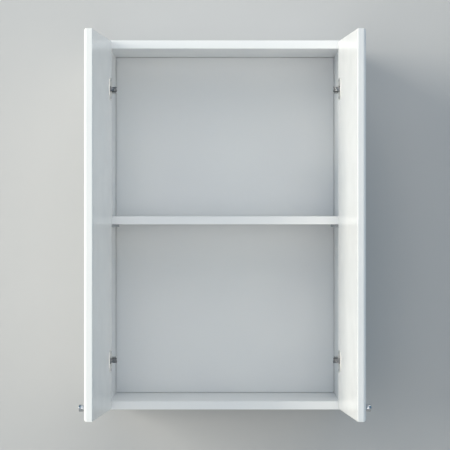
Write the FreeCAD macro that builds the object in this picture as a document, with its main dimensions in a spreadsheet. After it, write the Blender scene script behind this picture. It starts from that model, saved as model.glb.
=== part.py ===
import FreeCAD, Part
import math
import os
from types import SimpleNamespace

import Sketcher

# Wall cabinet with two doors, each on two concealed four-bar hinges.
# X runs to the right seen from the front, Y towards the wall and Z up.  The origin is on the wall
# plane and on the centre line, level with the entry holes of the two hanger plates.  Pieces are
# modelled with Z counted from the underside of the carcass, which lies at FLOOR.  The doors are
# drawn swung open.
#
# Hinge pivots are stated where a hinge maker states them: on the arm as u, inwards from the side
# panel's inner face, and v, forwards from the carcass front; on the cup as e, from the cup's centre
# away from the hinge edge, and d, the depth behind the door's inner face.  The open pose is where
# the centre of the cup's mouth lies, as u and v, with the door turned by open_angle.  A link's bulge
# sets how far it bows off the straight line between its pivots.

V = FreeCAD.Vector
doc = FreeCAD.newDocument("WallCabinet")

# ------------------------------------------------------------------ driving dimensions (mm, degrees)
SIZES = (
    # carcass
    ("width", 480), ("height", 720), ("depth", 200), ("board", 16), ("arris", 0.5),
    ("back_tongue", 3), ("back_field", 3), ("back_reveal", 1.2), ("back_inset", 8),
    ("groove_deep", 6), ("groove_play", 0.2),
    ("shelf_level", 361), ("shelf_setback", 5), ("shelf_side_play", 1), ("shelf_back_play", 2),
    ("shelf_pin_dia", 5), ("shelf_pin_in", 8), ("shelf_pin_out", 9), ("shelf_pin_front", 37),
    ("shelf_pin_rear", 50),
    ("dowel_dia", 8), ("dowel_in_side", 10), ("dowel_in_panel", 20), ("dowel_front", 40),
    ("dowel_rear", 50), ("fit_play", 0.04),
    # doors and knobs
    ("door_thick", 16), ("door_overlay", 14.5), ("door_end_reveal", 1.75),
    ("door_centre_gap", 2.5), ("door_round", 6), ("door_arris", 0.8),
    ("open_angle", 95), ("open_cup_u", 1.66), ("open_cup_v", 20.47),
    ("knob_level", 24), ("knob_from_edge", 27), ("knob_dia", 13.4), ("knob_out", 12.6),
    ("knob_neck_dia", 10.4), ("knob_foot_dia", 8.6), ("knob_foot", 1.4), ("knob_cap", 4.4),
    ("knob_dome", 0.9), ("knob_stud_dia", 4), ("knob_stud_in_door", 11), ("knob_stud_in_knob", 7),
    # hinge cup
    ("hinge_level", 96), ("cup_dia", 26), ("cup_inset", 2.5), ("cup_deep", 11), ("cup_wall", 1),
    ("flange_lip", 0.5), ("flange_thick", 1.2), ("flange_round", 9), ("flange_end", 1.4),
    ("cup_screw_margin", 4), ("cup_screw_dia", 3.2), ("cup_screw_head_dia", 5.2),
    ("cup_screw_head", 0.6), ("cup_screw_long", 11), ("nose_play", 0.55), ("pocket_play", 0.6),
    ("cup_pin_bite", 3),
    # hinge links and pins
    ("pin_dia", 2), ("link_wide", 3), ("eye_dia", 4), ("link_near", 0.3), ("link_far", 3.4),
    ("inner_arm_u", 11.65), ("inner_arm_v", 3.33), ("inner_cup_e", -5.88), ("inner_cup_d", 0.54),
    ("inner_bulge", 3.41),
    ("outer_arm_u", 6.22), ("outer_arm_v", 1.8), ("outer_cup_e", -7.86), ("outer_cup_d", 1.17),
    ("outer_bulge", 6.68), ("open_eye_dia", 5.2), ("open_eye_play", 1),
    ("running_play", 0.1),
    # hinge arm and mounting plate
    ("arm_wide", 9.8), ("arm_wall", 1.1), ("arm_rear", 36), ("arm_low", 2.8), ("arm_high", 9.4),
    ("arm_web_front", 6), ("nose_root", 1), ("nose_wide", 3.6), ("arm_screw_back", 26),
    ("arm_screw_dia", 4),
    ("arm_screw_head_dia", 6.4), ("arm_screw_head", 1.8), ("arm_screw_long", 6.4),
    ("plate_thick", 2.4), ("plate_wide", 9.6), ("plate_round", 3.5), ("plate_front", 5),
    ("plate_rear", 51), ("spine_front", 16), ("plate_screw_front", 10.5),
    ("plate_screw_rear", 45), ("plate_screw_dia", 3.6), ("plate_screw_head_dia", 6.4),
    ("plate_screw_head", 1.8), ("plate_screw_long", 13),
    # keyhole hanger plates in the rear edges of the side panels
    ("hanger_tall", 46), ("hanger_wide", 12), ("hanger_thick", 1.5), ("hanger_from_top", 40),
    ("hanger_hole_dia", 9), ("hanger_slot_wide", 5), ("hanger_slot_rise", 8.5),
    ("hanger_pocket", 8), ("hanger_pocket_play", 0.5), ("hanger_screw_reach", 19),
    ("hanger_screw_dia", 3),
    ("hanger_screw_head_dia", 5.6), ("hanger_screw_head", 0.9), ("hanger_screw_long", 14),
)

sheet = doc.addObject("Spreadsheet::Sheet", "Sizes")
for row, (word, number) in enumerate(SIZES, start=1):
    sheet.set(f"A{row}", word)
    sheet.set(f"B{row}", str(number))
    sheet.setAlias(f"B{row}", word)
doc.recompute()


class Dim:
    """A length or angle: its number now, and the sheet expression that keeps it up to date."""

    def __init__(self, number, text=None):
        self.number = float(number)
        self.text = text or repr(float(number))

    def __add__(self, other):
        other = dim(other)
        return Dim(self.number + other.number, f"({self.text} + {other.text})")

    def __sub__(self, other):
        other = dim(other)
        return Dim(self.number - other.number, f"({self.text} - {other.text})")

    def __mul__(self, other):
        other = dim(other)
        return Dim(self.number * other.number, f"({self.text} * {other.text})")

    def __truediv__(self, other):
        other = dim(other)
        return Dim(self.number / other.number, f"({self.text} / {other.text})")

    def __radd__(self, other):
        return dim(other) + self

    def __rsub__(self, other):
        return dim(other) - self

    def __rmul__(self, other):
        return dim(other) * self

    def __neg__(self):
        return dim(0) - self

    def __float__(self):
        return self.number


def dim(value):
    return value if isinstance(value, Dim) else Dim(value)


def cosine(angle):
    return Dim(math.cos(math.radians(angle.number)), f"cos({angle.text} * 1 deg)")


def sine(angle):
    return Dim(math.sin(math.radians(angle.number)), f"sin({angle.text} * 1 deg)")


S = SimpleNamespace(**{word: Dim(sheet.get(word), f"Sizes.{word}") for word, _ in SIZES})
HALF = S.width / 2
INNER = HALF - S.board
DOOR_WIDE = INNER + S.door_overlay - S.door_centre_gap / 2
TONGUE_FACE = S.back_inset + S.back_tongue
BACK_FACE = TONGUE_FACE + S.back_field
FLOOR = S.hanger_from_top - S.height
CUP = S.door_overlay + S.cup_inset
CUP_SCREW = S.cup_dia / 2 + S.cup_screw_margin
SPREAD = (S.open_cup_u - CUP * cosine(S.open_angle), S.open_cup_v - CUP * sine(S.open_angle))
DOWEL_ROWS = (S.dowel_front - S.depth, -S.dowel_rear)
PIN_ROWS = (S.shelf_pin_front - S.depth, -S.shelf_pin_rear)
PIN_LEVEL = S.shelf_level - S.shelf_pin_dia / 2
PLATE_ROWS = (S.plate_screw_front, S.plate_screw_rear)
POCKET = S.arm_wide / 2 + S.pocket_play
SIDES = (("left", 1), ("right", -1))
LEVELS = (("top", S.height - S.hinge_level), ("bottom", S.hinge_level))
RECESS_REACH, RECESS_HALF, RECESS_FLOOR = 0.32, 0.07, 0.4  # cross recess, as shares of the head
nodes = []


# ------------------------------------------------------------------------------ building blocks
def bind(item, prop, value):
    item.setExpression(prop, dim(value).text)


def put(item, x, y, z, turn=None):
    """Places an item at sheet-bound coordinates, with a fixed turn if one is given."""
    x, y, z = dim(x), dim(y), dim(z)
    item.Placement = FreeCAD.Placement(V(x.number, y.number, z.number), turn or FreeCAD.Rotation())
    for axis, value in (("x", x), ("y", y), ("z", z)):
        bind(item, f"Placement.Base.{axis}", value)
    return item


def block(owner, kind, x, y, z):
    """A box between two coordinates on each axis, given in either order."""
    item = owner(kind + "Box")
    starts = []
    for prop, (first, last) in (("Length", x), ("Width", y), ("Height", z)):
        first, last = dim(first), dim(last)
        low, high = (first, last) if first.number <= last.number else (last, first)
        bind(item, prop, high - low)
        starts.append(low)
    return put(item, *starts)


TURNS = {"x": FreeCAD.Rotation(V(0, 1, 0), 90), "y": FreeCAD.Rotation(V(1, 0, 0), -90),
         "z": FreeCAD.Rotation()}


def rod(owner, kind, dia, x, y, z):
    """A cylinder along the one axis whose coordinate is a pair, given in either order."""
    item = owner(kind + "Cylinder")
    bind(item, "Radius", dim(dia) / 2)
    at = {"x": x, "y": y, "z": z}
    axis = next(name for name, value in at.items() if isinstance(value, tuple))
    first, last = (dim(value) for value in at[axis])
    low, high = (first, last) if first.number <= last.number else (last, first)
    bind(item, "Height", high - low)
    at[axis] = low
    return put(item, at["x"], at["y"], at["z"], TURNS[axis])


def loose(kind):
    return doc.addObject("Part::" + kind, kind)


class Piece:
    """A PartDesign body built by adding and cutting boxes and cylinders."""

    def __init__(self, label):
        self.body = doc.addObject("PartDesign::Body", "Body")
        self.body.Label = label
        nodes.append(self.body)

    def feature_of(self, kind, name):
        return self.body.newObject(kind, name)

    def feature(self, kind):
        return self.feature_of("PartDesign::" + kind, kind)

    def add(self, x, y, z):
        return block(self.feature, "Additive", x, y, z)

    def cut(self, x, y, z):
        return block(self.feature, "Subtractive", x, y, z)

    def add_rod(self, dia, x, y, z):
        return rod(self.feature, "Additive", dia, x, y, z)

    def bore(self, dia, x, y, z):
        return rod(self.feature, "Subtractive", dia, x, y, z)

    def profile(self, corners, x, y, z):
        """A closed sketch of straight lines in the XY plane, its corners bound to the sheet."""
        sketch = self.feature_of("Sketcher::SketchObject", "Profile")
        plane = next(f for f in self.body.Origin.OriginFeatures if f.Role == "XY_Plane")
        sketch.AttachmentSupport = [(plane, "")]
        sketch.MapMode = "FlatFace"
        for axis, value in (("x", x), ("y", y), ("z", z)):
            bind(sketch, f"AttachmentOffset.Base.{axis}", value)
        points = [V(float(a), float(b), 0) for a, b in corners]
        count = len(points)
        for number in range(count):
            sketch.addGeometry(Part.LineSegment(points[number], points[(number + 1) % count]))
        for number, pair in enumerate(corners):
            sketch.addConstraint(Sketcher.Constraint("Coincident", number, 2, (number + 1) % count, 1))
            for kind, value in zip(("DistanceX", "DistanceY"), pair):
                place = sketch.addConstraint(Sketcher.Constraint(kind, -1, 1, number, 1, float(value)))
                bind(sketch, f"Constraints[{place}]", value)
        return sketch

    def soften(self, kind, prop, value, at_ends, along=lambda edge: True):
        """Fillets or chamfers the edges of the shape so far that pass both tests."""
        doc.recompute()
        base = self.body.Tip
        names = [f"Edge{number}" for number, edge in enumerate(base.Shape.Edges, start=1)
                 if all(at_ends(vertex.Point) for vertex in edge.Vertexes) and along(edge)]
        item = self.feature(kind)
        item.Base = (base, names)
        bind(item, prop, value)
        return item


def fuse(*parts):
    item = loose("MultiFuse")
    item.Shapes = list(parts)
    return item


def take(base, tool):
    item = loose("Cut")
    item.Base, item.Tool = base, tool
    return item


def group(label, parts):
    item = loose("Compound")
    item.Links = list(parts)
    item.Label = label
    nodes.append(item)
    return item


def stand(item):
    """Places a carcass piece, whose Z counts from the underside."""
    return put(item, 0, 0, FLOOR)


def swing(item, side):
    """Places a door piece, drawn shut against its hinge corner, at the open hinge corner."""
    put(item, side * (SPREAD[0] - INNER), -S.depth - SPREAD[1], FLOOR,
        FreeCAD.Rotation(V(0, 0, 1), -side * S.open_angle.number))
    bind(item, "Placement.Rotation.Angle", S.open_angle)
    item.Placement.Rotation.Axis = V(0, 0, -side)
    return item


def screw(x, y, z, dia, head_dia, head, length, heading):
    """A pan-head screw: its coordinate pair on one axis is replaced by the seat, heading into it."""
    at = {"x": dim(x), "y": dim(y), "z": dim(z)}
    axis, sign = heading
    seat = at[axis]
    shank = dict(at, **{axis: (seat, seat + sign * length)})
    cap = dict(at, **{axis: (seat, seat - sign * head)})
    whole = fuse(rod(loose, "", dia, **shank), rod(loose, "", head_dia, **cap))
    slots = []
    across = [name for name in "xyz" if name != axis]
    for along, thin in (across, across[::-1]):
        sides = {axis: (seat - sign * head, seat - sign * head * RECESS_FLOOR)}
        sides[along] = (at[along] - RECESS_REACH * head_dia, at[along] + RECESS_REACH * head_dia)
        sides[thin] = (at[thin] - RECESS_HALF * head_dia, at[thin] + RECESS_HALF * head_dia)
        slots.append(block(loose, "", **sides))
    return take(whole, fuse(*slots))


# ------------------------------------------------------------------------------ carcass
def side_panel(name, side):
    """One side, with its groove, dowel and shelf-pin bores, plate holes and hanger recess."""
    piece = Piece(f"{name}_side_panel")
    outer, inner = -side * HALF, -side * INNER
    piece.add((outer, inner), (-S.depth, 0), (0, S.height))
    piece.soften("Chamfer", "Size", S.arris, lambda p: p.y < -S.depth.number + 0.1)
    groove_low = S.board - S.groove_deep
    piece.cut((inner, inner - side * S.groove_deep), (-TONGUE_FACE, -S.back_inset),
              (groove_low, S.height - groove_low))
    for level in (S.board / 2, S.height - S.board / 2):
        for row in DOWEL_ROWS:
            piece.bore(S.dowel_dia, (inner, inner - side * S.dowel_in_side), row, level)
    for row in PIN_ROWS:
        piece.bore(S.shelf_pin_dia + S.fit_play, (inner, inner - side * S.shelf_pin_in), row, PIN_LEVEL)
    for _, level in LEVELS:
        for row in PLATE_ROWS:
            piece.bore(S.plate_screw_dia + S.fit_play,
                       (inner, inner - side * (S.plate_screw_long - S.plate_thick)),
                       row - S.depth, level)
    middle, level = -side * (HALF - S.board / 2), S.height - S.hanger_from_top
    half = S.hanger_wide / 2
    piece.cut((middle - half, middle + half), (-S.hanger_thick, 0),
              (level - S.hanger_tall / 2, level + S.hanger_tall / 2))
    pocket = S.hanger_hole_dia / 2 + S.hanger_pocket_play
    piece.cut((middle - pocket, middle + pocket), (-S.hanger_pocket, 0),
              (level - pocket, level + S.hanger_slot_rise + pocket))
    for reach in (-S.hanger_screw_reach, S.hanger_screw_reach):
        piece.bore(S.hanger_screw_dia + S.fit_play, middle, (-S.hanger_thick - S.hanger_screw_long, 0),
                   level + reach)
    stand(piece.body)


def end_panel(label, low, inside):
    """The top or the bottom, between the sides; inside is the sign of Z towards the shelf."""
    piece = Piece(label)
    high = low + S.board
    piece.add((-INNER, INNER), (-S.depth, 0), (low, high))
    piece.soften("Chamfer", "Size", S.arris, lambda p: p.y < -S.depth.number + 0.1)
    face = high if inside > 0 else low
    piece.cut((-INNER, INNER), (-TONGUE_FACE, -S.back_inset), (face, face - inside * S.groove_deep))
    for _, side in SIDES:
        for row in DOWEL_ROWS:
            piece.bore(S.dowel_dia, (-side * INNER, -side * (INNER - S.dowel_in_panel)), row,
                       low + S.board / 2)
    stand(piece.body)


def back_panel():
    """A rebated panel: its tongue sits in the grooves and its field leaves a narrow shadow gap."""
    piece = Piece("back_panel")
    tongue = S.groove_deep - S.groove_play
    for reveal, front, rear in ((-tongue, TONGUE_FACE, S.back_inset),
                                (S.back_reveal, BACK_FACE, TONGUE_FACE)):
        reach, low = INNER - reveal, S.board + reveal
        piece.add((-reach, reach), (-front, -rear), (low, S.height - low))
    stand(piece.body)


def carcass():
    for name, side in SIDES:
        side_panel(name, side)
    end_panel("top_panel", S.height - S.board, -1)
    end_panel("bottom_panel", dim(0), 1)
    shelf = Piece("shelf")
    reach = INNER - S.shelf_side_play
    shelf.add((-reach, reach), (S.shelf_setback - S.depth, -BACK_FACE - S.shelf_back_play),
              (S.shelf_level, S.shelf_level + S.board))
    shelf.soften("Chamfer", "Size", S.arris,
                 lambda p: p.y < (S.shelf_setback - S.depth).number + 0.1)
    stand(shelf.body)
    back_panel()
    dowels, pins = [], []
    for _, side in SIDES:
        into_side = -side * (INNER + S.dowel_in_side - S.fit_play)
        into_panel = -side * (INNER - S.dowel_in_panel + S.fit_play)
        for level in (S.board / 2, S.height - S.board / 2):
            for row in DOWEL_ROWS:
                dowels.append(rod(loose, "", S.dowel_dia - S.fit_play, (into_side, into_panel),
                                  row, level))
        into_side = -side * (INNER + S.shelf_pin_in - S.fit_play)
        for row in PIN_ROWS:
            pins.append(rod(loose, "", S.shelf_pin_dia, (into_side, -side * (INNER - S.shelf_pin_out)),
                            row, PIN_LEVEL))
    stand(group("dowels", dowels))
    stand(group("shelf_pins", pins))


def hangers():
    """Keyhole plates let in flush with the rear edges of the sides, each on two screws."""
    screws = []
    for name, side in SIDES:
        middle, level = -side * (HALF - S.board / 2), S.height - S.hanger_from_top
        half = S.hanger_wide / 2 - S.fit_play
        piece = Piece(f"{name}_hanger_plate")
        piece.add((middle - half, middle + half), (-S.hanger_thick, 0),
                  (level - S.hanger_tall / 2 + S.fit_play, level + S.hanger_tall / 2 - S.fit_play))
        piece.bore(S.hanger_hole_dia, middle, (-S.hanger_thick, 0), level)
        slot = S.hanger_slot_wide / 2
        piece.cut((middle - slot, middle + slot), (-S.hanger_thick, 0),
                  (level, level + S.hanger_slot_rise))
        piece.bore(S.hanger_slot_wide, middle, (-S.hanger_thick, 0), level + S.hanger_slot_rise)
        for reach in (-S.hanger_screw_reach, S.hanger_screw_reach):
            piece.bore(S.hanger_screw_dia + S.fit_play, middle, (-S.hanger_thick, 0), level + reach)
            piece.bore(S.hanger_screw_head_dia + S.fit_play, middle, (-S.hanger_screw_head, 0),
                       level + reach)
            screws.append(screw(middle, -S.hanger_screw_head, level + reach, S.hanger_screw_dia,
                                S.hanger_screw_head_dia, S.hanger_screw_head, S.hanger_screw_long,
                                ("y", -1)))
        stand(piece.body)
    stand(group("hanger_screws", screws))


# ------------------------------------------------------------------------------ doors and knobs
def door(name, side):
    """A slab drawn shut: x from the hinge edge, y from the inner face out to the front."""
    piece = Piece(f"{name}_door")
    low, high = S.door_end_reveal, S.height - S.door_end_reveal
    piece.add((0, side * DOOR_WIDE), (-S.door_thick, 0), (low, high))
    front = -S.door_thick.number
    piece.soften("Fillet", "Radius", S.door_round, lambda p: p.y < front + 0.1)
    piece.soften("Chamfer", "Size", S.door_arris, lambda p: p.y > -0.1)
    for _, level in LEVELS:
        piece.bore(S.cup_dia, side * CUP, (-S.cup_deep, 0), level)
        for reach in (-CUP_SCREW, CUP_SCREW):
            piece.bore(S.cup_screw_dia + S.fit_play, side * CUP, (-S.cup_screw_long, 0),
                       level + reach)
    across = side * (DOOR_WIDE - S.knob_from_edge)
    piece.bore(S.knob_stud_dia + S.fit_play, across,
               (-S.door_thick, S.knob_stud_in_door - S.door_thick), S.knob_level)
    swing(piece.body, side)


def knob(name, side):
    """A turned knob: a narrow foot, a neck that flares out and a cap with a softened face.

    A stud with a thread on both ends holds it in a blind bore, so the door's inner face is whole.
    """
    across = side * (DOOR_WIDE - S.knob_from_edge)
    seat, foot = -S.door_thick, S.knob_foot
    face = seat - S.knob_out
    cap_back = face + S.knob_cap
    piece = Piece(f"{name}_knob")
    sketch = piece.profile((
        (dim(0), seat), (S.knob_foot_dia / 2, seat), (S.knob_foot_dia / 2, seat - foot),
        (S.knob_neck_dia / 2, seat - foot), (S.knob_dia / 2, cap_back),
        (S.knob_dia / 2, face + S.knob_dome),
        (S.knob_dia / 2 - S.knob_dome, face), (dim(0), face)), across, 0, S.knob_level)
    turned = piece.feature("Revolution")
    turned.Profile = sketch
    turned.ReferenceAxis = (sketch, ["V_Axis"])
    turned.Angle = 360
    piece.bore(S.knob_stud_dia + S.fit_play, across, (seat, seat - S.knob_stud_in_knob), S.knob_level)
    swing(piece.body, side)
    stud = rod(loose, "", S.knob_stud_dia, across,
               (seat + S.knob_stud_in_door - S.fit_play, seat - S.knob_stud_in_knob + S.fit_play),
               S.knob_level)
    swing(group(f"{name}_knob_stud", [stud]), side)


# ------------------------------------------------------------------------------ hinges
def cup(name, side, level, place):
    """The cup in its bore: a flange and a solid pot whose pocket takes the links and the arm."""
    piece = Piece(f"{name}_{place}_hinge_cup")
    middle = side * CUP
    half = S.cup_dia / 2 + S.flange_lip
    tall = CUP_SCREW + S.cup_screw_head_dia / 2 + S.flange_end
    piece.add((middle - half, middle + half), (0, S.flange_thick), (level - tall, level + tall))
    piece.soften("Fillet", "Radius", S.flange_round,
                 lambda p: True, lambda edge: abs(edge.tangentAt(edge.FirstParameter).y) > 0.9)
    piece.add_rod(S.cup_dia - S.fit_play, middle, (0, -S.cup_deep + S.fit_play), level)
    eye_end = CUP + S.outer_cup_e - S.open_eye_dia / 2 - S.nose_play
    nose_end = S.door_overlay + S.inner_arm_u + S.nose_wide / 2 + S.nose_play
    piece.cut((side * eye_end, side * nose_end), (S.flange_thick, S.cup_wall - S.cup_deep),
              (level - POCKET, level + POCKET))
    for way in (-1, 1):
        piece.bore(S.cup_screw_dia + S.fit_play, middle, (0, S.flange_thick),
                   level + way * CUP_SCREW)
    for along, deep, way in CUP_PIVOTS:
        piece.bore(S.pin_dia + S.fit_play, middle + side * along, -deep,
                   (level + way * POCKET, level + way * (POCKET + S.cup_pin_bite + S.fit_play)))
    swing(piece.body, side)


def bow(near, far, bulge):
    """A link's centre line: a curve from one pivot to the other that bows by the bulge."""
    run = far - near
    across = V(run.y, -run.x, 0).normalize()
    curve = Part.BezierCurve()
    curve.setPoles([near, near + run * 0.5 + across * (2 * bulge), far])
    return Part.Wire([curve.toShape()])


def link(label, side, level, arm_pivot, cup_pivot, bulge, way, eye, hole):
    """A flat link in one of the two layers between the arm's cheeks, drawn at the open pose."""
    near = V(float(arm_pivot[0]), float(arm_pivot[1]), 0)
    turned = FreeCAD.Rotation(V(0, 0, 1), float(S.open_angle))
    far = V(float(S.open_cup_u), float(S.open_cup_v), 0)
    far += turned.multVec(V(float(cup_pivot[0]), float(cup_pivot[1]), 0))
    thick = float(S.link_far - S.link_near)
    band = bow(near, far, float(bulge)).makeOffset2D(float(S.link_wide) / 2, fill=True)
    up = V(0, 0, thick)
    shape = band.extrude(up)
    for centre, wide in ((near, float(S.eye_dia)), (far, eye)):
        shape = shape.fuse(Part.makeCylinder(wide / 2, thick, centre))
    for centre, wide in ((near, float(S.pin_dia + S.running_play)), (far, hole)):
        shape = shape.cut(Part.makeCylinder(wide / 2, thick, centre))
    shape.translate(V(0, 0, float(S.link_near) if way > 0 else -float(S.link_far)))
    flip = FreeCAD.Matrix()
    flip.scale(V(side, -1, 1))
    item = loose("Feature")
    item.Shape = shape.removeSplitter().transformGeometry(flip)
    item.Label = label
    nodes.append(item)
    put(item, -side * INNER, -S.depth, level + FLOOR)


def arm(name, side, level, place):
    """A channel over the plate's spine, with a nose on each cheek that carries the pins."""
    piece = Piece(f"{name}_{place}_hinge_arm")
    half = S.arm_wide / 2
    hollow = half - S.arm_wall
    front = -S.arm_web_front
    piece.add((side * S.arm_low, side * S.arm_high), (S.arm_rear, -front), (-half, half))
    round_off = S.nose_wide / 2
    slant = round_off * 0.7
    outline = ((S.arm_low, front - S.nose_root), (S.outer_arm_u - round_off, S.outer_arm_v),
               (S.outer_arm_u - slant, S.outer_arm_v + slant),
               (S.inner_arm_u - round_off * 0.3, S.inner_arm_v + round_off),
               (S.inner_arm_u + slant, S.inner_arm_v + slant),
               (S.inner_arm_u + round_off, S.inner_arm_v),
               (S.inner_arm_u + slant, S.inner_arm_v - slant),
               (S.arm_high, front - S.nose_root))
    sketch = piece.profile([(side * u, -v) for u, v in outline], 0, 0, -half)
    nose = piece.feature("Pad")
    nose.Profile = sketch
    bind(nose, "Length", S.arm_wide)
    piece.cut((0, side * (S.arm_high - S.arm_wall)), (S.arm_rear, -S.inner_arm_v - S.nose_wide),
              (-hollow, hollow))
    piece.cut((0, side * (S.inner_arm_u + S.nose_wide)), (-front, -S.inner_arm_v - S.nose_wide),
              (-hollow, hollow))
    for u, v in ARM_PIVOTS:
        piece.bore(S.pin_dia + S.fit_play, side * u, -v, (-half, half))
    piece.bore(S.arm_screw_dia + S.fit_play, (side * S.arm_high, side * (S.arm_high - S.arm_wall)),
               S.arm_screw_back, 0)
    put(piece.body, -side * INNER, -S.depth, level + FLOOR)


def plate(name, side, level, place):
    """The mounting plate: a strip in line with the arm and a spine that the arm clips over."""
    piece = Piece(f"{name}_{place}_hinge_plate")
    half = S.plate_wide / 2
    piece.add((0, side * S.plate_thick), (S.plate_front, S.plate_rear), (-half, half))
    piece.soften("Fillet", "Radius", S.plate_round,
                 lambda p: True, lambda edge: abs(edge.tangentAt(edge.FirstParameter).x) > 0.9)
    top = S.arm_high - S.arm_wall
    reach = S.arm_wide / 2 - S.arm_wall - S.fit_play
    piece.add((0, side * top), (S.spine_front, S.arm_rear - S.arm_wall), (-reach, reach))
    for row in PLATE_ROWS:
        piece.bore(S.plate_screw_dia + S.fit_play, (0, side * S.plate_thick), row, 0)
    piece.bore(S.arm_screw_dia + S.fit_play,
               (side * top, side * (S.arm_high - S.arm_screw_long - S.fit_play)), S.arm_screw_back, 0)
    put(piece.body, -side * INNER, -S.depth, level + FLOOR)


def fixings(name, side):
    """The screws and pins of one door's two hinges, a group for each kind."""
    cup_screws, cup_pins, plate_screws, arm_screws, arm_pins = [], [], [], [], []
    half = S.arm_wide / 2
    for _, level in LEVELS:
        for way in (-1, 1):
            cup_screws.append(screw(side * CUP, S.flange_thick, level + way * CUP_SCREW,
                                    S.cup_screw_dia, S.cup_screw_head_dia, S.cup_screw_head,
                                    S.cup_screw_long, ("y", -1)))
        for row in PLATE_ROWS:
            plate_screws.append(screw(side * S.plate_thick, row, level, S.plate_screw_dia,
                                      S.plate_screw_head_dia, S.plate_screw_head,
                                      S.plate_screw_long - S.fit_play, ("x", -side)))
        arm_screws.append(screw(side * S.arm_high, S.arm_screw_back, level, S.arm_screw_dia,
                                S.arm_screw_head_dia, S.arm_screw_head, S.arm_screw_long,
                                ("x", -side)))
        for u, v in ARM_PIVOTS:
            arm_pins.append(rod(loose, "", S.pin_dia, side * u, -v, (level - half, level + half)))
        for along, deep, way in CUP_PIVOTS:
            cup_pins.append(rod(loose, "", S.pin_dia, side * (CUP + along), -deep,
                                (level + way * S.link_near,
                                 level + way * (POCKET + S.cup_pin_bite))))
    swing(group(f"{name}_cup_screws", cup_screws), side)
    swing(group(f"{name}_cup_pins", cup_pins), side)
    for label, parts in (("plate_screws", plate_screws), ("arm_screws", arm_screws),
                         ("arm_pins", arm_pins)):
        put(group(f"{name}_{label}", parts), -side * INNER, -S.depth, FLOOR)


def hinge(name, side, place, level):
    cup(name, side, level, place)
    arm(name, side, level, place)
    plate(name, side, level, place)
    inner, outer = CUP_PIVOTS
    link(f"{name}_{place}_inner_link", side, level, ARM_PIVOTS[0], inner[:2], S.inner_bulge, inner[2],
         float(S.eye_dia), float(S.pin_dia + S.running_play))
    link(f"{name}_{place}_outer_link", side, level, ARM_PIVOTS[1], outer[:2], S.outer_bulge, outer[2],
         float(S.open_eye_dia), float(S.pin_dia + 2 * S.open_eye_play))


ARM_PIVOTS = ((S.inner_arm_u, S.inner_arm_v), (S.outer_arm_u, S.outer_arm_v))
CUP_PIVOTS = ((S.inner_cup_e, S.inner_cup_d, -1), (S.outer_cup_e, S.outer_cup_d, 1))

carcass()
hangers()
for name, side in SIDES:
    door(name, side)
    knob(name, side)
    for place, level in LEVELS:
        hinge(name, side, place, level)
    fixings(name, side)

doc.recompute()
bad = [item.Label for item in doc.Objects if {"Invalid", "Error"} & set(item.State)]
bad += [item.Label for item in nodes if item.Shape.isNull() or not item.Shape.isValid()]
if bad:
    raise RuntimeError("these did not build: " + ", ".join(bad))

os.makedirs("parts", exist_ok=True)
for item in nodes:
    item.Shape.exportStep(f"parts/{item.Label}.step")
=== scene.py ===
import logging
import math
from dataclasses import dataclass, field
from enum import Enum

import bpy
import numpy as np
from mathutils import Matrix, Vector


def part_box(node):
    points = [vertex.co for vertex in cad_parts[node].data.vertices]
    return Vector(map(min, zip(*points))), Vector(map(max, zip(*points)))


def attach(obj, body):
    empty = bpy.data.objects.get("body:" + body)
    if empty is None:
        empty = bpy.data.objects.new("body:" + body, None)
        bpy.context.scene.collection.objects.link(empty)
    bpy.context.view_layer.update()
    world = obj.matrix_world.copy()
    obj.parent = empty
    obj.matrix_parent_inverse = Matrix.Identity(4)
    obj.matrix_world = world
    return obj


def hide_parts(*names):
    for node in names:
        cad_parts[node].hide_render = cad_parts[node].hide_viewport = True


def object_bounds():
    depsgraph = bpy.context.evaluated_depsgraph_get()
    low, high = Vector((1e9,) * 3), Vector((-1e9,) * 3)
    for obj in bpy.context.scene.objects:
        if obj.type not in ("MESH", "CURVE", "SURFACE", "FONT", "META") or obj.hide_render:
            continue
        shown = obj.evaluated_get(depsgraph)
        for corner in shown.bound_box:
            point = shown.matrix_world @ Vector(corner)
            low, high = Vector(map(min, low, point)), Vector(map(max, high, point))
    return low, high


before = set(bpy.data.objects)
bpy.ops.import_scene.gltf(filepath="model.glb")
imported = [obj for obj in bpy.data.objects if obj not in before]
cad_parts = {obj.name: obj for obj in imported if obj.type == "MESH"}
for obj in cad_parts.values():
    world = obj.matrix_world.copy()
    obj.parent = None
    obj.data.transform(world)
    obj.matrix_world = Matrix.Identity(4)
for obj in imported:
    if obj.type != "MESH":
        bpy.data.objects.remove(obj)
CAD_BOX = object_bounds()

# The looks of a white two-door wall cabinet: melamine boards, lacquered doors, plated hinges and
# turned knobs, hung on a painted wall in soft studio light.

LOG = logging.getLogger("wall_cabinet")
MM = 0.001
UP = np.array([0.0, 0.0, 1.0])
# Cloud noise seldom leaves these limits, so they are stretched to the full range.
CLOUD_LOW = 0.3
CLOUD_HIGH = 0.7
# The colour sockets of a Mix node share their names with its other kinds, so they go by number.
MIX_FIRST = 6
MIX_SECOND = 7
MIX_RESULT = 2
# A face counts as facing a side when its normal has at least this share of the side's direction.
FACING = 0.9


class Side(Enum):
    """The half of the cabinet that a piece belongs to, with the sign of its X."""

    LEFT = -1
    RIGHT = 1

    @property
    def word(self) -> str:
        """The side's word at the start of a node's name."""
        return self.name.lower()


class Level(Enum):
    """The upper or the lower hinge of a door."""

    TOP = "top"
    BOTTOM = "bottom"


class Slot(Enum):
    """The material slots of the record."""

    MELAMINE = "white_melamine"
    LACQUER = "white_lacquer"
    HARDBOARD = "white_hardboard"
    BEECH = "beech"
    CHROME = "chrome"
    NICKEL = "nickel_steel"
    HINGE = "hinge_steel"
    ZINC = "zinc_steel"


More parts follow.
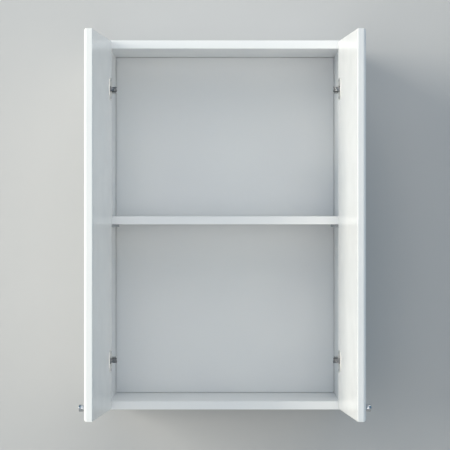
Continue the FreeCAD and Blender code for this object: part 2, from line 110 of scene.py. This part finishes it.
# ------------------------------------------------------------------------------ colour and nodes
def linear(hex_colour: str) -> tuple[float, float, float, float]:
    """Turns an sRGB hex colour into the linear values that a shader takes.

    Args:
        hex_colour: the colour as "#RRGGBB".

    Returns:
        Linear red, green, blue and an alpha of one.
    """
    srgb = np.array([int(hex_colour[i : i + 2], 16) for i in (1, 3, 5)]) / 255.0
    low, high = srgb / 12.92, ((srgb + 0.055) / 1.055) ** 2.4
    return (*np.where(srgb <= 0.04045, low, high).tolist(), 1.0)


def add_node(
    tree: bpy.types.NodeTree, kind: str, sockets: dict | None = None, **settings: object
) -> bpy.types.Node:
    """Adds a node with its settings, its constant inputs and its links.

    Args:
        tree: the node tree that gets the node.
        kind: the node's type, such as "ShaderNodeTexNoise".
        sockets: inputs by name or number, each a constant or the output socket it is linked to.
        settings: properties of the node itself.

    Returns:
        The new node.
    """
    node = tree.nodes.new(kind)
    for name, value in settings.items():
        setattr(node, name, value)
    for name, value in (sockets or {}).items():
        if isinstance(value, bpy.types.NodeSocket):
            tree.links.new(value, node.inputs[name])
        else:
            node.inputs[name].default_value = value
    return node


def mottle(
    tree: bpy.types.NodeTree,
    size_mm: float,
    low: float = 0.0,
    high: float = 1.0,
    detail: float = 2.0,
    stretch: tuple[float, float, float] = (1.0, 1.0, 1.0),
) -> bpy.types.NodeSocket:
    """A value that drifts between two limits over the surface, as cloud noise in Object space.

    Args:
        tree: the material's node tree.
        size_mm: the width of one light or dark patch.
        low: the value in the darkest patches.
        high: the value in the lightest patches.
        detail: how many finer octaves ride on the patches.
        stretch: how much the pattern is squeezed on each axis.

    Returns:
        The socket that carries the value.
    """
    place = add_node(tree, "ShaderNodeTexCoord")
    turn = add_node(
        tree, "ShaderNodeMapping", {"Vector": place.outputs["Object"], "Scale": stretch}
    )
    cloud = add_node(
        tree,
        "ShaderNodeTexNoise",
        {"Vector": turn.outputs["Vector"], "Scale": 1 / (size_mm * MM), "Detail": detail},
    )
    spread = add_node(
        tree,
        "ShaderNodeMapRange",
        {
            "Value": cloud.outputs["Fac"],
            "From Min": CLOUD_LOW,
            "From Max": CLOUD_HIGH,
            "To Min": low,
            "To Max": high,
        },
    )
    return spread.outputs["Result"]


def blended(
    tree: bpy.types.NodeTree, factor: bpy.types.NodeSocket, first: object, second: object
) -> bpy.types.NodeSocket:
    """Two colours mixed by a factor.

    Args:
        tree: the material's node tree.
        factor: zero gives the first colour and one the second.
        first: a linear colour or a socket.
        second: a linear colour or a socket.

    Returns:
        The socket that carries the mixed colour.
    """
    sockets = {0: factor, MIX_FIRST: first, MIX_SECOND: second}
    mix = add_node(tree, "ShaderNodeMix", sockets, data_type="RGBA")
    return mix.outputs[MIX_RESULT]


def beyond(tree: bpy.types.NodeTree, axis: str, limit: float) -> bpy.types.NodeSocket:
    """One where the Object coordinate on an axis is above a limit, and zero elsewhere.

    Args:
        tree: the material's node tree.
        axis: "X", "Y" or "Z".
        limit: the limit in metres.

    Returns:
        The socket that carries the mask.
    """
    place = add_node(tree, "ShaderNodeTexCoord")
    split = add_node(tree, "ShaderNodeSeparateXYZ", {0: place.outputs["Object"]})
    over = add_node(
        tree, "ShaderNodeMath", {0: split.outputs[axis], 1: limit}, operation="GREATER_THAN"
    )
    return over.outputs[0]


# ------------------------------------------------------------------------------ finishes
@dataclass(frozen=True)
class Finish:
    """What every finish has: its name, its colour and how sharp its reflections are."""

    name: str
    colour: str
    roughness: float
    metallic: float = 0.0

    def material(self) -> bpy.types.Material:
        """Makes the material, with the finish's own pattern on it."""
        material = bpy.data.materials.new(self.name)
        material.use_nodes = True
        tree = material.node_tree
        tree.nodes.clear()
        base = {
            "Base Color": linear(self.colour),
            "Roughness": self.roughness,
            "Metallic": self.metallic,
        }
        surface = add_node(tree, "ShaderNodeBsdfPrincipled", base)
        add_node(tree, "ShaderNodeOutputMaterial", {"Surface": surface.outputs["BSDF"]})
        self.dress(tree, surface)
        return material

    def dress(self, tree: bpy.types.NodeTree, surface: bpy.types.Node) -> None:
        """Adds the finish's pattern; a plain finish has none."""

    def bump(
        self,
        tree: bpy.types.NodeTree,
        surface: bpy.types.Node,
        height: bpy.types.NodeSocket,
        depth_mm: float,
    ) -> None:
        """Lets a height pattern tilt the surface's normal.

        Args:
            tree: the material's node tree.
            surface: the Principled node.
            height: the pattern, from zero to one.
            depth_mm: how far apart its lows and highs are.
        """
        relief = add_node(
            tree, "ShaderNodeBump", {"Height": height, "Distance": depth_mm * MM, "Strength": 1.0}
        )
        tree.links.new(relief.outputs["Normal"], surface.inputs["Normal"])


@dataclass(frozen=True)
class MelamineBoard(Finish):
    """Chipboard faced with white melamine paper, pressed against a pearl-grained plate.

    The eye sees an even satin white with a faint dry grain, and raw brown chips only on the cut
    rear edges that face the wall.  The grain is about 0.5 mm and is drawn at 2 mm to show.
    """

    shade: str = "#EEEFF0"
    drift_mm: float = 160.0
    gloss_mm: float = 35.0
    gloss_swing: float = 0.03
    grain_mm: float = 2.0
    grain_depth_mm: float = 0.012
    chip_light: str = "#CDB38C"
    chip_dark: str = "#8A6A45"
    chip_mm: float = 2.4
    chip_stretch: tuple[float, float, float] = (1.0, 1.0, 2.2)
    raw_from: float = -0.3 * MM

    def dress(self, tree: bpy.types.NodeTree, surface: bpy.types.Node) -> None:
        """Adds the drift of the white, the pressed grain and the raw rear edge."""
        drift = mottle(tree, self.drift_mm, detail=1)
        white = blended(tree, drift, linear(self.colour), linear(self.shade))
        swing = self.gloss_swing
        gloss = mottle(tree, self.gloss_mm, self.roughness - swing, self.roughness + swing)
        flakes = mottle(tree, self.chip_mm, detail=3, stretch=self.chip_stretch)
        chips = blended(tree, flakes, linear(self.chip_dark), linear(self.chip_light))
        raw = beyond(tree, "Y", self.raw_from)
        tree.links.new(blended(tree, raw, white, chips), surface.inputs["Base Color"])
        tree.links.new(gloss, surface.inputs["Roughness"])
        self.bump(tree, surface, mottle(tree, self.grain_mm, detail=1), self.grain_depth_mm)


@dataclass(frozen=True)
class SprayedLacquer(Finish):
    """White semi-gloss lacquer sprayed on a rounded fibreboard door.

    The eye sees a smooth brighter white whose soft reflections waver a little, because sprayed
    lacquer levels into a faint orange peel about 6 mm across.
    """

    shade: str = "#ECEDED"
    drift_mm: float = 140.0
    gloss_mm: float = 60.0
    gloss_below: float = 0.02
    gloss_above: float = 0.03
    peel_mm: float = 6.0
    peel_depth_mm: float = 0.01

    def dress(self, tree: bpy.types.NodeTree, surface: bpy.types.Node) -> None:
        """Adds a slow drift of the white and the orange peel."""
        drift = mottle(tree, self.drift_mm)
        white = blended(tree, drift, linear(self.colour), linear(self.shade))
        low, high = self.roughness - self.gloss_below, self.roughness + self.gloss_above
        gloss = mottle(tree, self.gloss_mm, low, high)
        tree.links.new(white, surface.inputs["Base Color"])
        tree.links.new(gloss, surface.inputs["Roughness"])
        self.bump(tree, surface, mottle(tree, self.peel_mm, detail=1), self.peel_depth_mm)


@dataclass(frozen=True)
class PaintedHardboard(Finish):
    """Pressed hardboard, painted white on its raised field and left raw behind.

    The eye sees a flatter white than the boards inside the cabinet, and from behind brown fibre
    with the print of the press screen, whose 1.2 mm mesh is drawn at 4 mm to show.
    """

    shade: str = "#EAEBEC"
    drift_mm: float = 160.0
    raw_light: str = "#9E7A52"
    raw_dark: str = "#876340"
    fibre_mm: float = 2.5
    mesh_mm: float = 4.0
    mesh_depth_mm: float = 0.02
    raw_from: float = -10.5 * MM

    def dress(self, tree: bpy.types.NodeTree, surface: bpy.types.Node) -> None:
        """Adds the paint's drift and the raw, screen-printed rear."""
        drift = mottle(tree, self.drift_mm, detail=1)
        white = blended(tree, drift, linear(self.colour), linear(self.shade))
        felt = mottle(tree, self.fibre_mm, detail=5)
        fibre = blended(tree, felt, linear(self.raw_dark), linear(self.raw_light))
        raw = beyond(tree, "Y", self.raw_from)
        tree.links.new(blended(tree, raw, white, fibre), surface.inputs["Base Color"])
        self.bump(tree, surface, mottle(tree, self.mesh_mm, detail=1), self.mesh_depth_mm)


@dataclass(frozen=True)
class TurnedBeech(Finish):
    """Fluted beech dowel stock: pinkish tan with short darker rays along the grain."""

    shade: str = "#B98F62"
    ray_mm: float = 0.8
    ray_stretch: tuple[float, float, float] = (0.12, 1.0, 1.0)

    def dress(self, tree: bpy.types.NodeTree, surface: bpy.types.Node) -> None:
        """Adds the grain, stretched along X as the dowels lie."""
        rays = mottle(tree, self.ray_mm, detail=3, stretch=self.ray_stretch)
        grain = blended(tree, rays, linear(self.colour), linear(self.shade))
        tree.links.new(grain, surface.inputs["Base Color"])


@dataclass(frozen=True)
class PlatedMetal(Finish):
    """Steel or zinc with a plated skin: bright or satin, with a faint cloudiness in its gloss.

    The eye sees mirror-like bands where it is polished and a soft grey sheen where it is barrel
    plated; cloud_mm is the size of the duller patches.
    """

    metallic: float = 1.0
    shade: str = "#8E8F91"
    cloud_mm: float = 3.0
    unevenness: float = 0.05
    grit_mm: float = 0.6
    grit_depth_mm: float = 0.002

    def dress(self, tree: bpy.types.NodeTree, surface: bpy.types.Node) -> None:
        """Adds the duller patches and the fine unevenness of the plating."""
        skin = blended(
            tree, mottle(tree, self.cloud_mm), linear(self.colour), linear(self.shade)
        )
        low, high = self.roughness - self.unevenness, self.roughness + self.unevenness
        gloss = mottle(tree, self.cloud_mm, low, high)
        tree.links.new(skin, surface.inputs["Base Color"])
        tree.links.new(gloss, surface.inputs["Roughness"])
        self.bump(tree, surface, mottle(tree, self.grit_mm, detail=1), self.grit_depth_mm)


@dataclass(frozen=True)
class RolledPaint(Finish):
    """Matt emulsion, rolled on: a faint stipple about 8 mm across over a slow drift of colour."""

    shade: str = "#C8C9CA"
    drift_mm: float = 400.0
    stipple_mm: float = 8.0
    stipple_depth_mm: float = 0.01

    def dress(self, tree: bpy.types.NodeTree, surface: bpy.types.Node) -> None:
        """Adds the drift and the stipple."""
        drift = mottle(tree, self.drift_mm)
        paint = blended(tree, drift, linear(self.colour), linear(self.shade))
        tree.links.new(paint, surface.inputs["Base Color"])
        self.bump(tree, surface, mottle(tree, self.stipple_mm, detail=2), self.stipple_depth_mm)


FINISHES: dict[Slot, Finish] = {
    Slot.MELAMINE: MelamineBoard("white_melamine_board", "#F1F2F2", 0.36),
    Slot.LACQUER: SprayedLacquer("white_sprayed_lacquer", "#F1F1F0", 0.24),
    Slot.HARDBOARD: PaintedHardboard("painted_hardboard", "#EDEEEE", 0.5),
    Slot.BEECH: TurnedBeech("turned_beech", "#D2AC7E", 0.6),
    Slot.CHROME: PlatedMetal(
        "polished_chrome", "#BFC2C6", 0.13, shade="#B4B8BD", unevenness=0.02, grit_depth_mm=0.0005
    ),
    Slot.NICKEL: PlatedMetal("nickel_plated_zinc", "#EDEBE7", 0.36, shade="#E2E0DB"),
    # The arm, links and pins get a darker grey than the nickel cup and plate: partly a duller
    # steel, partly painted shade for the shade inside the carcass.
    Slot.HINGE: PlatedMetal("hinge_steel", "#8F9092", 0.34, shade="#77787A"),
    Slot.ZINC: PlatedMetal("zinc_plated_steel", "#BFC2C6", 0.32, shade="#A4A8AE"),
}


class Paintbox:
    """Makes each finish's material once and hands it out."""

    def __init__(self) -> None:
        """Starts with no material made."""
        self.made: dict[Finish, bpy.types.Material] = {}

    def material(self, finish: Finish) -> bpy.types.Material:
        """The finish's material, made on first use."""
        if finish not in self.made:
            self.made[finish] = finish.material()
        return self.made[finish]

    def coat(self, node: str, slot: Slot) -> None:
        """Gives a CAD node its finish in every material slot.

        Args:
            node: the node's name.
            slot: the record's slot, which names the finish.
        """
        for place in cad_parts[node].material_slots:
            place.material = self.material(FINISHES[slot])
        LOG.info("node %s: %s", node, slot.value)


# ------------------------------------------------------------------------------ shapes
def points_of(node: str) -> np.ndarray:
    """The vertices of a CAD node as an array of shape (count, 3)."""
    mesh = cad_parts[node].data
    flat = np.empty(len(mesh.vertices) * 3, np.float32)
    mesh.vertices.foreach_get("co", flat)
    return flat.reshape(-1, 3).astype(float)


def outward_of(door: str, side: Side) -> np.ndarray:
    """The unit normal of a door's broad outer face, from the largest faces of its mesh.

    Args:
        door: the door's node.
        side: the side of the cabinet, which the open door's outer face looks to.

    Returns:
        The unit vector.
    """
    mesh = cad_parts[door].data
    normals = np.empty(len(mesh.polygons) * 3, np.float32)
    areas = np.empty(len(mesh.polygons), np.float32)
    mesh.polygons.foreach_get("normal", normals)
    mesh.polygons.foreach_get("area", areas)
    normals = normals.reshape(-1, 3).astype(float)
    flat = normals[np.argmax(areas * (normals[:, 0] * side.value > FACING))]
    return flat / np.linalg.norm(flat)


@dataclass
class Axis:
    """A turning axis in space: a point on it, its direction and two directions across it."""

    origin: np.ndarray
    along: np.ndarray

    def across(self) -> tuple[np.ndarray, np.ndarray]:
        """Two unit vectors square to the axis and to each other, the second the more upright."""
        level = np.cross(UP, self.along)
        level = level / np.linalg.norm(level)
        return level, np.cross(self.along, level)

    @classmethod
    def through(cls, points: np.ndarray, along: np.ndarray) -> "Axis":
        """The axis through the middle of a turned solid, from its lowest end.

        Args:
            points: the solid's vertices.
            along: the direction of its axis.

        Returns:
            The axis, with its origin at the solid's rear end.
        """
        axis = cls(np.zeros(3), along)
        level, steep = axis.across()
        middle = sum(
            way * (np.max(points @ way) + np.min(points @ way)) / 2 for way in (level, steep)
        )
        axis.origin = middle + along * np.min(points @ along)
        return axis


def rounded(corners: list[tuple[float, float, float]], steps: int = 6) -> np.ndarray:
    """A profile whose corners are rounded.

    Each inner corner is replaced by the quadratic curve (1-t)^2 A + 2t(1-t) C + t^2 B, where C is
    the corner and A and B lie on its two sides, as far from it as its reach.

    Args:
        corners: radius, height and reach of each corner.
        steps: points on each curve.

    Returns:
        Radii and heights as an array of shape (count, 2).
    """
    spots = np.array([corner[:2] for corner in corners], float)
    t = np.linspace(0, 1, steps)[:, None]
    runs = [spots[:1]]
    for number in range(1, len(corners) - 1):
        here, reach = spots[number], corners[number][2]
        sides = [spots[number + way] - here for way in (-1, 1)]
        first, last = (here + side * reach / np.linalg.norm(side) for side in sides)
        runs.append((1 - t) ** 2 * first + 2 * t * (1 - t) * here + t**2 * last)
    runs.append(spots[-1:])
    return np.concatenate(runs)


def turned(profile: np.ndarray, axis: Axis, steps: int) -> tuple[np.ndarray, list[list[int]]]:
    """A closed solid of revolution: a profile carried round an axis.

    Ring i, step j lies at origin + h_i along + r_i (cos p_j level + sin p_j steep), where p_j is
    2 pi j / steps.  The first and last points of the profile lie on the axis and close it.

    Args:
        profile: radii and heights, the first and last radius being zero.
        axis: the axis and its rear end.
        steps: how many steps make the full turn.

    Returns:
        Points of shape (count, 3) and the faces.
    """
    level, steep = axis.across()
    turn = np.linspace(0, 2 * math.pi, steps, endpoint=False)
    spokes = np.cos(turn)[:, None] * level + np.sin(turn)[:, None] * steep
    radii, heights = profile[1:-1, 0], profile[1:-1, 1]
    rings = radii[:, None, None] * spokes[None] + heights[:, None, None] * axis.along
    poles = profile[[0, -1], 1][:, None] * axis.along
    points = axis.origin + np.concatenate([rings.reshape(-1, 3), poles])
    here = np.arange(steps)
    there = (here + 1) % steps
    rows = np.arange(len(radii) - 1)[:, None] * steps
    quads = np.stack([rows + here, rows + there, rows + steps + there, rows + steps + here], -1)
    first, last = len(radii) * steps, len(radii) * steps + 1
    top = (len(radii) - 1) * steps
    fans = [
        np.stack([np.full(steps, first), there, here], -1),
        np.stack([np.full(steps, last), top + here, top + there], -1),
    ]
    faces = quads.reshape(-1, 4).tolist() + fans[0].tolist() + fans[1].tolist()
    return points, faces


def piece(
    name: str, shell: tuple[np.ndarray, list[list[int]]], body: str, slot: Slot, box: Paintbox
) -> bpy.types.Object:
    """Makes one object from a closed shell, dresses it and lets it ride on a body.

    Args:
        name: the object's name.
        shell: its points and faces.
        body: the CAD body it rides on.
        slot: the record's slot for its finish.
        box: where its material comes from.

    Returns:
        The object.
    """
    points, faces = shell
    mesh = bpy.data.meshes.new(name)
    mesh.from_pydata(points.tolist(), [], faces)
    mesh.polygons.foreach_set("use_smooth", np.ones(len(mesh.polygons), bool))
    mesh.materials.append(box.material(FINISHES[slot]))
    mesh.update()
    made = bpy.data.objects.new(name, mesh)
    bpy.context.scene.collection.objects.link(made)
    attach(made, body)
    LOG.info("piece %s: %d faces on %s", name, len(faces), body)
    return made


# ------------------------------------------------------------------------------ the cabinet
@dataclass
class Carcass:
    """The fixed box: boards, shelf, back, hidden fixings and hanger plates."""

    boards: tuple[str, ...] = (
        "left_side_panel",
        "right_side_panel",
        "top_panel",
        "bottom_panel",
        "shelf",
    )
    hardware: tuple[str, ...] = (
        "shelf_pins",
        "left_hanger_plate",
        "right_hanger_plate",
        "hanger_screws",
    )

    def dress(self, box: Paintbox) -> None:
        """Gives the fixed pieces their finishes."""
        for board in self.boards:
            box.coat(board, Slot.MELAMINE)
        box.coat("back_panel", Slot.HARDBOARD)
        box.coat("dowels", Slot.BEECH)
        for node in self.hardware:
            box.coat(node, Slot.ZINC)


@dataclass
class Knob:
    """A turned chrome knob: a narrow foot, a neck that flares out and a softened face.

    Radii, the foot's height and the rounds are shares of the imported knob's radius, and cap_from
    is a share of its length, so the turned knob fills the same space.
    """

    side: Side
    foot_radius: float = 0.64
    foot_high: float = 0.11
    neck_radius: float = 0.78
    cap_from: float = 0.62
    foot_round: float = 0.02
    neck_round: float = 0.05
    cap_rear_round: float = 0.12
    cap_face_round: float = 0.14
    steps: int = 72

    def build(self, box: Paintbox) -> None:
        """Turns the knob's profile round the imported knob's axis."""
        node = f"{self.side.word}_knob"
        points = points_of(node)
        outward = outward_of(f"{self.side.word}_door", self.side)
        axis = Axis.through(points, outward)
        radius = np.ptp(points[:, 2]) / 2
        length = np.ptp(points @ outward)
        reach = length / radius
        corners = [
            (0.0, 0.0, 0.0),
            (self.foot_radius, 0.0, self.foot_round),
            (self.foot_radius, self.foot_high, self.foot_round),
            (self.neck_radius, self.foot_high, self.neck_round),
            (1.0, self.cap_from * reach, self.cap_rear_round),
            (1.0, reach, self.cap_face_round),
            (0.0, reach, 0.0),
        ]
        scaled = [tuple(share * radius for share in corner) for corner in corners]
        shell = turned(rounded(scaled), axis, self.steps)
        made = piece(f"{node}_turned", shell, f"{self.side.word}_door", Slot.CHROME, box)
        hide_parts(node)


@dataclass
class Door:
    """A lacquered slab with its knob."""

    side: Side
    knob: Knob = field(init=False)

    def __post_init__(self) -> None:
        """Gives the door its knob."""
        self.knob = Knob(self.side)

    def build(self, box: Paintbox) -> None:
        """Dresses the slab and builds the knob."""
        box.coat(f"{self.side.word}_door", Slot.LACQUER)
        box.coat(f"{self.side.word}_knob_stud", Slot.ZINC)
        self.knob.build(box)


@dataclass
class Hinge:
    """One concealed hinge: plated cup and plate, and an arm and links painted a darker grey,
    partly a duller steel and partly painted shade.
    """

    side: Side
    level: Level

    def dress(self, box: Paintbox) -> None:
        """Gives the hinge's stampings their finishes."""
        word = f"{self.side.word}_{self.level.value}"
        box.coat(f"{word}_hinge_cup", Slot.NICKEL)
        box.coat(f"{word}_hinge_plate", Slot.NICKEL)
        for node in ("hinge_arm", "inner_link", "outer_link"):
            box.coat(f"{word}_{node}", Slot.HINGE)


@dataclass
class HingeFixings:
    """The screws and pins of one door's hinges."""

    side: Side

    def dress(self, box: Paintbox) -> None:
        """Gives the screws and pins their finishes."""
        for node in ("cup_screws", "plate_screws", "arm_screws"):
            box.coat(f"{self.side.word}_{node}", Slot.ZINC)
        # The pins take the hinge's darker grey, which is partly painted shade.
        for node in ("cup_pins", "arm_pins"):
            box.coat(f"{self.side.word}_{node}", Slot.HINGE)


# ------------------------------------------------------------------------------ the studio
@dataclass(frozen=True)
class Softbox:
    """A rectangular soft light that faces the middle of the cabinet.

    The place and the size are in metres, the power in watts and the colour in linear values.
    """

    name: str
    place: tuple[float, float, float]
    size: tuple[float, float]
    power: float
    colour: tuple[float, float, float]

    def build(self) -> None:
        """Adds the light, unseen by the camera."""
        lamp = bpy.data.lights.new(self.name, "AREA")
        lamp.shape = "RECTANGLE"
        lamp.size, lamp.size_y = self.size
        lamp.energy, lamp.color = self.power, self.colour
        made = bpy.data.objects.new(self.name, lamp)
        bpy.context.scene.collection.objects.link(made)
        middle = (CAD_BOX[0] + CAD_BOX[1]) / 2
        made.location = self.place
        made.visible_camera = False
        made.rotation_euler = (middle - Vector(self.place)).to_track_quat("-Z", "Y").to_euler()


# The warm lights and the cool ambient of the studio balance each other to a neutral white on the
# boards that face the front.
WARM = (1.0, 0.95, 0.84)
SOFT_WHITE = (1.0, 0.91, 0.82)
REAR_WHITE = (1.0, 0.92, 0.82)
SOFTBOXES = (
    Softbox("key_left", (-10.6, -5.2, 2.4), (4.5, 6.5), 1302.0, WARM),
    Softbox("overhead_front", (-0.2, -3.8, 2.4), (2.0, 2.0), 24.0, SOFT_WHITE),
    Softbox("level_front", (0.0, -5.5, -0.6), (2.6, 2.6), 46.0, SOFT_WHITE),
    Softbox("wall_washer", (0.2, -0.55, 1.0), (1.0, 0.5), 3.8, SOFT_WHITE),
    Softbox("rear_fill", (1.2, 3.2, 1.4), (2.4, 2.4), 90.0, REAR_WHITE),
)


@dataclass
class Studio:
    """The painted wall, the pale floor, the soft lights and the camera.

    Lengths are in metres.  Only the camera sees the backdrop's colour; every other ray meets the
    ambient light.
    """

    wall_reach: float = 2.4
    wall_gap: float = 0.4 * MM
    opening_inset: float = 0.5 * MM
    floor_drop: float = 0.75
    floor_reach: float = 7.0
    wall_paint: RolledPaint = RolledPaint("wall_emulsion", "#C0C0C0", 0.8, shade="#BDBDBD")
    floor_paint: RolledPaint = RolledPaint("pale_floor", "#EADFD2", 0.6, shade="#D0D0D0")
    ambient: tuple[float, float, float] = (0.176, 0.302, 0.419)
    backdrop: str = "#C9CBCD"
    camera_back: float = 3.56
    focal_px: float = 1825.0
    image_px: float = 450.0
    sensor_mm: float = 36.0

    def sheet(
        self,
        name: str,
        points: np.ndarray,
        faces: list[list[int]],
        paint: Finish,
        one_sided: bool,
    ) -> None:
        """Makes a stage surface.

        Args:
            name: the object's name.
            points: its corners.
            faces: its faces.
            paint: its finish.
            one_sided: whether it is clear when seen from its rear.
        """
        mesh = bpy.data.meshes.new(name)
        mesh.from_pydata(points.tolist(), [], faces)
        material = paint.material()
        if one_sided:
            tree = material.node_tree
            out = next(node for node in tree.nodes if node.type == "OUTPUT_MATERIAL")
            solid = out.inputs["Surface"].links[0].from_socket
            rear = add_node(tree, "ShaderNodeNewGeometry")
            clear = add_node(tree, "ShaderNodeBsdfTransparent")
            pick = add_node(
                tree,
                "ShaderNodeMixShader",
                {0: rear.outputs["Backfacing"], 1: solid, 2: clear.outputs[0]},
            )
            tree.links.new(pick.outputs[0], out.inputs["Surface"])
        mesh.materials.append(material)
        made = bpy.data.objects.new(name, mesh)
        bpy.context.scene.collection.objects.link(made)
        LOG.info("stage %s", name)

    def build_wall(self) -> None:
        """The wall, with an opening behind the carcass so that its rear gets light.

        The ring between the outer and the inner rectangle is four quads; both rectangles are the
        corners (x0, x1) by (z0, z1) taken in the same order.
        """
        low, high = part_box("left_side_panel")[0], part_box("right_side_panel")[1]
        inset = self.opening_inset
        inner = (low.x + inset, high.x - inset, low.z + inset, high.z - inset)
        floor = low.z - self.floor_drop
        outer = (-self.wall_reach, self.wall_reach, floor, high.z + self.wall_reach)
        corners = [
            (x, self.wall_gap, z)
            for x0, x1, z0, z1 in (outer, inner)
            for x, z in ((x0, z0), (x1, z0), (x1, z1), (x0, z1))
        ]
        faces = [[i, (i + 1) % 4, (i + 1) % 4 + 4, i + 4] for i in range(4)]
        self.sheet("wall", np.array(corners), faces, self.wall_paint, True)

    def build_floor(self) -> None:
        """The level floor, floor_drop below the cabinet."""
        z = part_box("bottom_panel")[0].z - self.floor_drop
        r = self.floor_reach
        corners = np.array([(-r, -r, z), (r, -r, z), (r, r, z), (-r, r, z)])
        self.sheet("floor", corners, [[0, 1, 2, 3]], self.floor_paint, False)

    def light(self) -> None:
        """A cool even ambient and the softboxes."""
        world = bpy.data.worlds.new("studio")
        bpy.context.scene.world = world
        world.use_nodes = True
        tree = world.node_tree
        tree.nodes.clear()
        glow = add_node(tree, "ShaderNodeBackground", {"Color": (*self.ambient, 1.0)})
        sheet = add_node(tree, "ShaderNodeBackground", {"Color": linear(self.backdrop)})
        seen = add_node(tree, "ShaderNodeLightPath").outputs["Is Camera Ray"]
        pick = add_node(
            tree, "ShaderNodeMixShader", {0: seen, 1: glow.outputs[0], 2: sheet.outputs[0]}
        )
        add_node(tree, "ShaderNodeOutputWorld", {"Surface": pick.outputs[0]})
        for softbox in SOFTBOXES:
            softbox.build()

    def aim_camera(self) -> None:
        """Sets the camera square on to the front, level with the middle of the carcass."""
        low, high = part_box("left_side_panel")[0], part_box("right_side_panel")[1]
        data = bpy.data.cameras.new("camera")
        data.sensor_width = self.sensor_mm
        data.lens = self.focal_px * self.sensor_mm / self.image_px
        camera = bpy.data.objects.new("camera", data)
        bpy.context.scene.collection.objects.link(camera)
        camera.location = (0.0, low.y - self.camera_back, (low.z + high.z) / 2)
        camera.rotation_euler = (math.pi / 2, 0.0, 0.0)
        bpy.context.scene.camera = camera

    def build(self) -> None:
        """Builds the stage, the lights and the camera."""
        self.build_wall()
        self.build_floor()
        self.light()
        self.aim_camera()
        bpy.context.scene.view_settings.view_transform = "Standard"


def main() -> None:
    """Builds the studio and the cabinet, and dresses every node."""
    logging.basicConfig(level=logging.INFO, format="%(message)s")
    Studio().build()
    box = Paintbox()
    Carcass().dress(box)
    for side in Side:
        Door(side).build(box)
        for level in Level:
            Hinge(side, level).dress(box)
        HingeFixings(side).dress(box)


if __name__ == "__main__":
    main()
